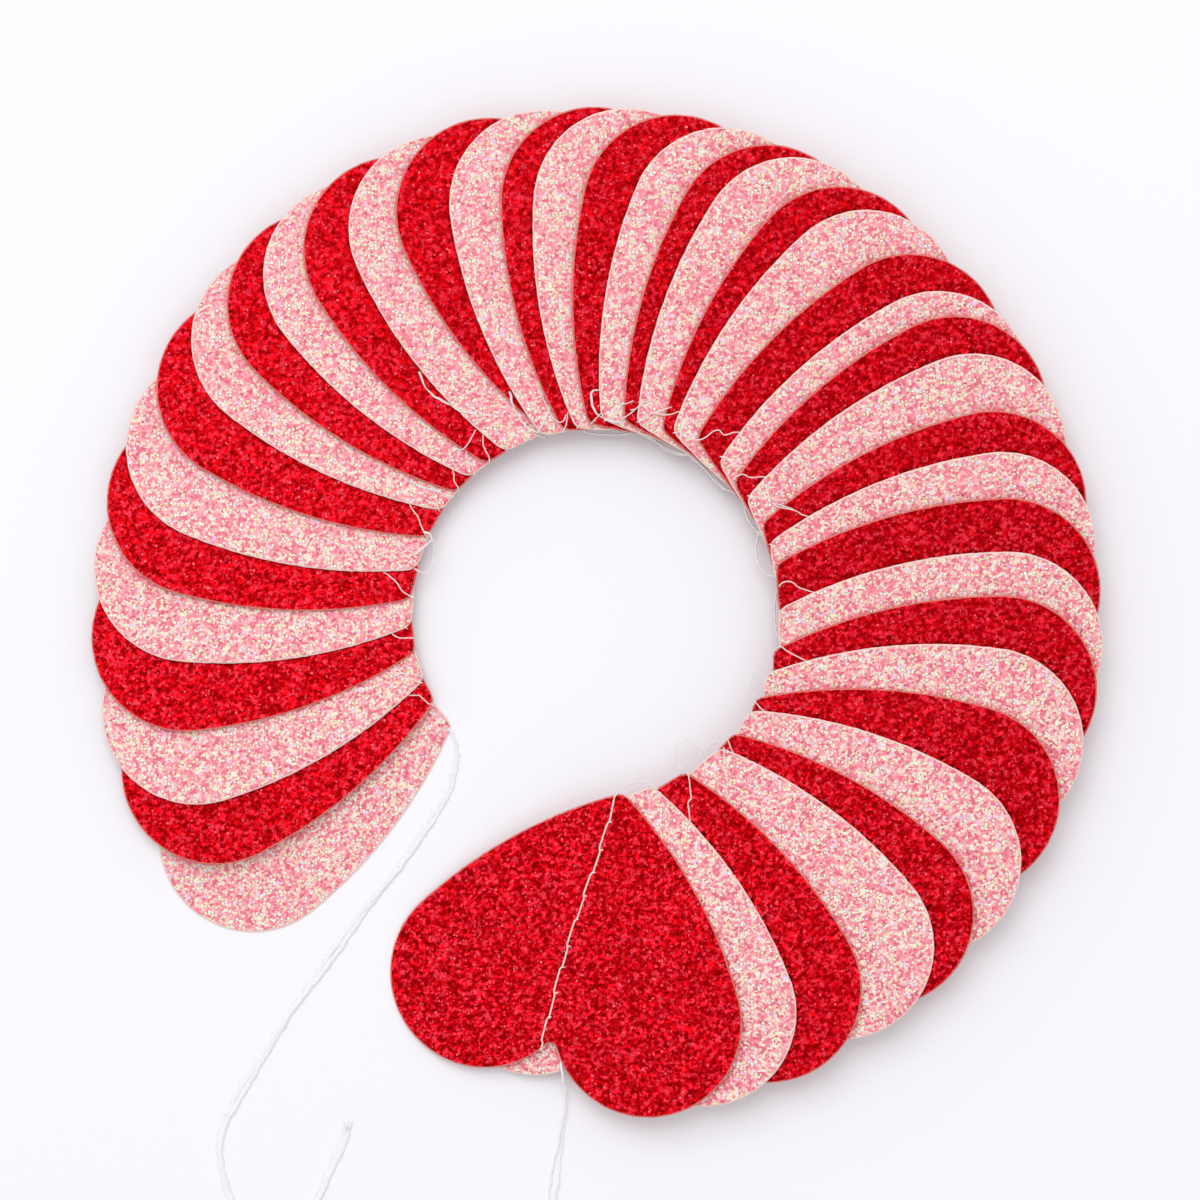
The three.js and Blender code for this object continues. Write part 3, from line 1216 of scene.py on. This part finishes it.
class Rest:
    """The tops of the cards and the table, which loose thread lies on."""

    def __init__(self, nodes: Sequence[bpy.types.Object]) -> None:
        """Gathers the hearts' surfaces.

        Args:
            nodes: The frame's hearts.
        """
        corners: list[Vector] = []
        faces: list[list[int]] = []
        for node in nodes:
            first = len(corners)
            corners.extend(vert.co.copy() for vert in node.data.vertices)
            faces.extend([first + index for index in face.vertices] for face in node.data.polygons)
        self.tree = BVHTree.FromPolygons(corners, faces)

    def height(self, x: float, y: float) -> float:
        """Finds the height of what lies under the sky at a place.

        Args:
            x: Across, in millimetres.
            y: Up the picture, in millimetres.

        Returns:
            The height in millimetres.
        """
        hit = self.tree.ray_cast(Vector((x * MM, y * MM, 0.1)), -UP)
        return hit[0].z / MM if hit[0] else 0.0

    def lay(self, plan: Sequence[Vector], width: float, slope: float = 0.7) -> list[Vector]:
        """Lays a thread along a plan on whatever is under it, without a bend sharper than a slope.

        Args:
            plan: Points that the thread passes over, at height zero.
            width: The thread's width.
            slope: The steepest fall at an edge.

        Returns:
            The thread's middle line.
        """
        step = 0.35
        # The middle of a thread that sinks in a little where it rests
        rest = 0.42
        flat = smooth_route(plan, step)
        heights = [self.height(point.x, point.y) for point in flat]
        laid = []
        for index, point in enumerate(flat):
            bridged = max(high - abs(index - other) * step * slope for other, high in enumerate(heights))
            laid.append(Vector((point.x, point.y, bridged + width * rest)))
        return laid


def frame_place(across: float, down: float) -> Vector:
    """Turns a place in the photographed frame to a place on the table.

    Args:
        across: Units from the frame's left edge.
        down: Units from its top edge.

    Returns:
        The place in millimetres, at height zero.
    """
    unit = FRAME_WIDTH / FRAME_UNITS
    half = FRAME_UNITS / 2
    return Vector((FRAME_CENTRE.x + (across - half) * unit, FRAME_CENTRE.y - (down - half) * unit, 0.0))


@dataclass(frozen=True)
class SeenSeam:
    """Where a covered heart's seam shows at its tip, as places in the frame from the tip inwards."""

    heart: int
    places: Places


@dataclass(frozen=True)
class LooseThread:
    """A slack stretch that hangs between two hearts, as places in the frame with heights in millimetres."""

    places: tuple[tuple[float, float, float], ...]
    width: float = 0.38
    strands: int = 1


@dataclass(frozen=True)
class LaidThread:
    """A slack stretch that lies on the cards, as places in the frame."""

    places: Places
    strands: int = 1


SEEN_SEAMS = (
    SeenSeam(3, ((687, 771), (689, 779), (690, 790), (691, 799), (688, 801), (689, 812), (690, 822))),
    SeenSeam(5, ((723, 737), (727, 739), (731, 749), (736, 757))),
    SeenSeam(7, ((755, 702), (761, 709))),
    SeenSeam(9, ((776, 648), (780, 646), (785, 650), (792, 654), (806, 661))),
    SeenSeam(11, ((778, 586), (783, 582), (791, 582), (797, 587), (805, 590), (814, 593))),
    SeenSeam(13, ((771, 503), (776, 507), (785, 509), (794, 511), (802, 516))),
    SeenSeam(15, ((732, 480), (738, 476), (743, 475), (748, 478), (757, 478))),
    SeenSeam(17, ((695, 441), (702, 440), (708, 436), (713, 432), (719, 431), (723, 436), (731, 434))),
    SeenSeam(19, ((650, 415), (656, 414), (662, 416), (673, 415))),
    SeenSeam(31, ((458, 487), (454, 481), (454, 474), (451, 466))),
    SeenSeam(33, ((424, 532), (421, 526), (418, 517), (412, 509), (408, 500))),
    SeenSeam(35, ((414, 598), (408, 595), (402, 591), (397, 583), (387, 574))),
    SeenSeam(37, ((413, 638), (408, 638), (400, 638), (394, 636), (388, 628))),
)

LOOSE_THREADS = (
    # Slack that hangs in the open middle, from the top round to the right
    LooseThread(
        (
            (581, 427, 4.6), (586, 432, 3.7), (592, 433, 3.2),
            (606, 434, 2.9), (622, 434, 3.1), (641, 431, 4.6),
        ),
    ),
    LooseThread(
        (
            (629, 409, 6.4), (627, 418, 5.8), (632, 426, 4.9), (640, 432, 4.3), (650, 438, 3.9),
            (660, 444, 3.6), (670, 450, 3.4), (679, 454, 3.5), (690, 454, 4.6),
        ),
        strands=2,
    ),
    LooseThread(
        (
            (684, 449, 4.8), (690, 455, 4.2), (698, 462, 3.8), (707, 470, 3.4),
            (715, 479, 3.2), (722, 486, 3.1), (731, 491, 3.3), (739, 493, 4.4),
        ),
        strands=2,
    ),
    LooseThread(((722, 460, 6.2), (726, 470, 5.4), (731, 480, 4.9), (736, 489, 4.5), (743, 499, 4.6))),
    LooseThread(
        (
            (743, 498, 4.7), (745, 508, 4.0), (747, 516, 3.6),
            (751, 524, 3.4), (757, 531, 3.8), (764, 537, 4.9),
        ),
    ),
    LooseThread(
        (
            (768, 518, 6.2), (764, 525, 5.4), (759, 533, 4.2), (757, 543, 3.2), (756, 552, 2.8),
            (758, 562, 2.8), (763, 570, 3.2), (770, 575, 3.8), (781, 577, 4.9),
        ),
    ),
    LooseThread(
        (
            (778, 587, 5.6), (776, 596, 4.2), (775, 606, 3.6),
            (775, 618, 3.4), (776, 630, 3.8), (780, 642, 4.9),
        ),
        width=0.3,
    ),
    # Single strands at the lower right
    LooseThread(
        ((754, 697, 5.0), (750, 687, 3.8), (752, 677, 3.2), (757, 671, 3.4), (768, 669, 4.8)),
        width=0.2,
    ),
    LooseThread(
        (
            (681, 769, 5.0), (675, 757, 3.8), (675, 748, 3.2), (680, 743, 3.0),
            (688, 741, 3.2), (697, 743, 3.8), (706, 753, 5.0),
        ),
        width=0.2,
    ),
    LooseThread(((700, 756, 5.0), (706, 748, 4.4), (713, 744, 4.6), (722, 740, 6.2)), width=0.2),
    LooseThread(
        (
            (614, 797, 5.8), (621, 789, 4.8), (630, 784, 4.2),
            (640, 782, 4.0), (648, 783, 4.3), (658, 789, 5.2),
        ),
        width=0.2,
    ),
    # And at the left
    LooseThread(
        (
            (424, 532, 6.2), (430, 534, 6.0), (432, 539, 5.4),
            (429, 543, 5.0), (424, 547, 4.8), (416, 554, 4.8),
        ),
    ),
    LooseThread(
        (
            (430, 534, 4.8), (434, 545, 4.0), (434, 555, 3.6), (432, 564, 3.4),
            (429, 570, 3.4), (424, 573, 3.8), (415, 569, 4.8),
        ),
        width=0.3,
    ),
)

LAID_THREADS = (
    # Slack that lies on the cards, from the top round to the left
    LaidThread(
        ((600, 391), (593, 392), (591, 400), (593, 408), (598, 415), (605, 420), (613, 422), (624, 424)),
        strands=2,
    ),
    LaidThread(((630, 411), (635, 410), (643, 404), (652, 401))),
    LaidThread(
        (
            (510, 392), (512, 402), (516, 412), (521, 420), (527, 427),
            (533, 431), (538, 432), (541, 428), (544, 421), (548, 412),
        ),
        strands=2,
    ),
    LaidThread(((521, 421), (528, 429), (536, 435), (547, 438))),
    LaidThread(
        (
            (420, 372), (423, 383), (428, 390), (434, 396), (442, 401),
            (450, 405), (458, 410), (466, 413), (477, 414),
        ),
        strands=2,
    ),
    LaidThread(((404, 478), (415, 484), (425, 488), (435, 491), (445, 494), (453, 497)), strands=2),
    LaidThread(((398, 540), (406, 549), (412, 552), (421, 551))),
    LaidThread(((388, 679), (400, 674), (410, 674), (421, 676))),
    LaidThread(((449, 449), (451, 456), (450, 463))),
    LaidThread(((614, 395), (616, 400), (619, 404), (624, 405), (633, 402))),
    LaidThread(((566, 415), (564, 421), (560, 423), (556, 421), (550, 414), (546, 405), (541, 394))),
    LaidThread(((455, 446), (458, 449), (462, 450), (466, 447), (470, 441), (476, 430))),
    LaidThread(((466, 452), (468, 459), (470, 470))),
)


@dataclass
class SewnThread:
    """The long thread between the tails: a seam down each heart, and a slack run on to the next one."""

    # The thread's width on the top heart, on the covered hearts and in the runs between the cards
    top_width: float = 0.3
    width: float = 0.23
    run_width: float = 0.2
    # How high the thread's middle lies on a card, and how far it sinks into a needle hole
    height: float = 0.39
    dip: float = 0.12
    stitch: float = 4.4
    # How far a stitch leans out to one side of its holes
    lean: float = 0.16
    nub_width: float = 0.24
    # In a slack pair: each strand's place from the middle, by its width, and the length of one turn
    pair_spread: float = 0.55
    pair_twist: float = 14.0
    # Along and across the top heart's axis: its stitches' ends, from the tip to the notch
    top_seam: Places = (
        (1.0, 1.5), (5.9, 1.1), (11.1, 1.27), (15.4, 1.45), (19.8, 1.75), (24.3, 1.95), (29.3, 2.1),
        (33.2, 2.1), (38.0, 2.05), (42.6, 1.9), (47.0, 1.75), (48.3, 1.7),
    )
    # Down a heart's tip and in under it: along from the edge, and height
    over_edge: Places = ((0.0, 0.36), (-0.25, 0.1), (0.3, -0.2), (1.6, -0.2))
    # Between the cards, out to the next notch: along and across the lower card, at one height
    between: Places = ((9.0, 2.2), (20.0, 2.4), (34.0, 2.0), (OUTLINE.notch - 2.0, 1.2))
    between_height: float = 0.53

    def seam_line(self, number: int, pose: Matrix) -> list[Vector]:
        """Draws the seam of one heart on its card.

        Args:
            number: The heart's number.
            pose: From the card's millimetres to the frame's metres.

        Returns:
            The seam's line in the card's own millimetres, from the tip to the notch.
        """
        chance = random.Random(300 + number)
        tip, notch = OUTLINE.tip, OUTLINE.notch
        if number == 1:
            return self.stitched([Vector((across, along, 0.0)) for along, across in self.top_seam])
        seen = [seam for seam in SEEN_SEAMS if seam.heart == number]
        if seen:
            shown = [self.on_card(pose, frame_place(*place)) for place in seen[0].places]
        else:
            shown = [Vector((chance.uniform(-0.9, 0.9), tip + reach, 0.0)) for reach in (0.7, 2.6)]
        start, end = shown[-1], chance.uniform(-0.5, 0.5)
        covered = []
        along = start.y + self.stitch
        while along < notch - self.stitch / 2:
            share = (along - start.y) / (notch - start.y)
            across = start.x + (end - start.x) * share + chance.uniform(-0.12, 0.12)
            covered.append(Vector((across, along, 0.0)))
            along += self.stitch
        covered.append(Vector((end, notch - 0.4, 0.0)))
        line = [point + UP * self.height for point in smooth_route(shown, 0.4)]
        return line + self.stitched([start, *covered])

    def stitched(self, knots: Sequence[Vector]) -> list[Vector]:
        """Draws stitches between needle holes: each leans a little to one side and dips at its holes.

        Args:
            knots: The needle holes.

        Returns:
            The thread's line.
        """
        line = []
        for index, (one, other) in enumerate(zip(knots, knots[1:])):
            side = self.lean if index % 2 else -self.lean
            for share in (0.0, 0.07, 0.5, 0.93):
                is_hole = share == 0.0
                point = one.lerp(other, share)
                point.x += side * (0.2 if is_hole else 1.0)
                point.z = self.height - (self.dip if is_hole else 0.0)
                line.append(point)
        line.append(knots[-1] + UP * self.height)
        return line

    def add_nubs(self, strands: Strands, pose: Matrix) -> None:
        """Adds the lower thread's small nub where it is pulled up at each needle hole of the top heart.

        Args:
            strands: The gathered lengths.
            pose: From the card's millimetres to the frame's metres.
        """
        chance = random.Random(17)
        for along, across in self.top_seam[1:-2]:
            reach = chance.uniform(0.35, 0.6)
            nub = [
                (across + 0.1, along, self.height),
                (across - reach * 0.6, along - 0.12, self.height + 0.08),
                (across - reach, along - chance.uniform(0.1, 0.4), self.height - 0.05),
            ]
            strands.add([(pose @ Vector(spot)) / MM for spot in nub], self.nub_width)

    def on_card(self, pose: Matrix, place: Vector) -> Vector:
        """Finds the place on a card's face under a place seen from above.

        Args:
            pose: From the card's millimetres to the frame's metres.
            place: The place, in millimetres.

        Returns:
            The place in the card's own plane.
        """
        origin = pose @ Vector((0.0, 0.0, self.height))
        normal = pose.col[2].xyz
        drop = (origin - place * MM).dot(normal) / normal.z
        local = pose.inverted() @ (place * MM + UP * drop)
        return Vector((local.x, local.y, 0.0))

    def build(self, frame: Nodes, finishes: Finishes) -> list[bpy.types.Object]:
        """Builds the seams, and the thread's runs between the cards with the slack that shows.

        Args:
            frame: The loaded frame.
            finishes: The materials by name.

        Returns:
            The seams' piece and the slack's piece.
        """
        nodes = [frame["nodes"][f"heart_{number:02d}"] for number in range(1, HEART_COUNT + 1)]
        poses = [card_pose(node) for node in nodes]
        stitched, slack = Strands(sides=2), Strands(sides=2)
        seams = []
        for number, pose in enumerate(poses, start=1):
            world = [(pose @ point) / MM for point in self.seam_line(number, pose)]
            spaced = even_steps(world, 0.25 if number == 1 else 0.5)
            stitched.add(spaced, self.top_width if number == 1 else self.width)
            seams.append(world)
            if number == 1:
                Fuzz(spacing=1.2, reach=0.4, width=0.06).grow(stitched, spaced, self.top_width, seed=7)
                self.add_nubs(stitched, pose)
        for number in range(1, HEART_COUNT):
            run = self.run(poses[number - 1], poses[number], seams[number - 1][0], seams[number][-1])
            slack.add(smooth_route(run, 0.5), self.run_width)
        self.add_slack(slack, Rest(nodes))
        pieces = [
            stitched.build("sewing_thread_seams", finishes["seam_thread"]),
            slack.build("sewing_thread_slack", finishes["thread"]),
        ]
        for piece in pieces:
            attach(piece, "root")
        return pieces

    def add_slack(self, strands: Strands, rest: Rest) -> None:
        """Adds the slack that hangs in the open middle and the slack that lies on the cards.

        Args:
            strands: The gathered lengths.
            rest: What loose thread lies on.
        """
        lines = []
        for loose in LOOSE_THREADS:
            points = [frame_place(across, down) + UP * height for across, down, height in loose.places]
            lines.append((smooth_route(points, 0.35), loose.width, loose.strands))
        for laid in LAID_THREADS:
            plan = [frame_place(*place) for place in laid.places]
            lines.append((rest.lay(plan, self.run_width), self.run_width, laid.strands))
        for seed, (line, width, count) in enumerate(lines):
            if count == 1:
                strands.add(line, width)
                continue
            spread = width * self.pair_spread
            for strand in twisted_pair(line, width, lambda share: spread, self.pair_twist, seed=seed):
                strands.add(strand, width)

    def run(self, upper: Matrix, lower: Matrix, tip: Vector, notch: Vector) -> list[Vector]:
        """Routes the thread from one heart's tip, over its edge and between the cards, to the next notch.

        Args:
            upper: The upper heart's pose.
            lower: The next heart's pose.
            tip: The end of the upper heart's seam.
            notch: The start of the next heart's seam.

        Returns:
            The points of the thread's middle line.
        """
        here = upper.inverted() @ (tip * MM)
        # The tip's rounded edge, just outside the card, at this distance from the axis
        edge = OUTLINE.tip + 0.25 * here.x * here.x - 0.1
        points = [tip]
        for along, height in self.over_edge:
            points.append((upper @ Vector((here.x, edge + along, height))) / MM)
        for along, across in self.between:
            points.append((lower @ Vector((across, along, self.between_height))) / MM)
        points.append(notch)
        return points


@dataclass
class Studio:
    """A white table under one large soft box, with the camera straight above the garland."""

    camera_height: float = 650.0
    sensor: float = 36.0
    box_width: float = 1275.0
    box_distance: float = 1800.0
    box_azimuth: float = 108.0
    box_elevation: float = 56.0
    box_power: float = 12.5
    ambient: float = 0.75
    # The table's half width in metres, and how far its top lies beneath the lowest card
    table_reach: float = 3.0
    table_drop: float = 0.05

    def build(self) -> None:
        """Sets up the camera, the soft box, the room's light and the table."""
        scene = bpy.context.scene
        scene.view_settings.view_transform = "Standard"
        lens = bpy.data.cameras.new("camera")
        lens.sensor_width = self.sensor
        lens.lens = self.sensor * (self.camera_height - FRAME_CENTRE.z) / FRAME_WIDTH
        camera = bpy.data.objects.new("camera", lens)
        camera.location = Vector((FRAME_CENTRE.x, FRAME_CENTRE.y, self.camera_height)) * MM
        scene.collection.objects.link(camera)
        scene.camera = camera

        lamp = bpy.data.lights.new("soft_box", "AREA")
        lamp.shape = "SQUARE"
        lamp.size = self.box_width * MM
        lamp.energy = self.box_power
        box = bpy.data.objects.new("soft_box", lamp)
        azimuth, elevation = math.radians(self.box_azimuth), math.radians(self.box_elevation)
        level = math.cos(elevation)
        ray = Vector((level * math.cos(azimuth), level * math.sin(azimuth), math.sin(elevation)))
        box.location = ray * self.box_distance * MM
        box.rotation_euler = ray.to_track_quat("Z", "Y").to_euler()
        scene.collection.objects.link(box)

        world = bpy.data.worlds.new("room")
        world.use_nodes = True
        world.node_tree.nodes.clear()
        sky = add_node(
            world.node_tree,
            "ShaderNodeBackground",
            inputs={"Color": linear("ffffff"), "Strength": self.ambient},
        )
        add_node(world.node_tree, "ShaderNodeOutputWorld", inputs={"Surface": sky.outputs[0]})
        scene.world = world

        top = bmesh.new()
        bmesh.ops.create_grid(top, x_segments=1, y_segments=1, size=self.table_reach)
        bmesh.ops.translate(top, verts=top.verts[:], vec=(0.0, 0.0, -self.table_drop * MM))
        table = mesh_object("table_top", top)
        table.data.materials.append(WhiteTableFinish().build())


def main() -> None:
    """Builds the studio, the threads and the cards, and reports each piece."""
    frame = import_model()
    Studio().build()
    finishes = {
        CardColour.RED.value: RED_GLITTER.build(),
        CardColour.PINK.value: PINK_GLITTER.build(),
        f"{CardColour.RED.value}_core": RED_CORE.build(),
        f"{CardColour.PINK.value}_core": PINK_CORE.build(),
        "thread": SEWN_THREAD.build(),
        "seam_thread": SEAM_THREAD.build(),
        "loose_thread": LOOSE_THREAD.build(),
    }
    last = card_pose(frame["nodes"][f"heart_{HEART_COUNT}"])
    # The end tail leaves the bottom heart's face a little to one side of its tip
    beside_tip = Vector((-0.5, OUTLINE.tip + 0.5, 0.6))
    tip = (last @ beside_tip) / MM
    threads = [
        StartTail().build(finishes["loose_thread"]),
        EndTail().build(tip, finishes["loose_thread"]),
        *SewnThread().build(frame, finishes),
    ]
    for thread in threads:
        log.info("%s: %d faces", thread.name, len(thread.data.polygons))
    for number in range(1, HEART_COUNT + 1):
        colour = CardColour.RED if number % 2 else CardColour.PINK
        card = GlitterCard(number, colour).build(frame, finishes)
        log.info("%s: %d faces", card.name, len(card.data.polygons))


if __name__ == "__main__":
    logging.basicConfig(level=logging.INFO, format="%(message)s")
    main()
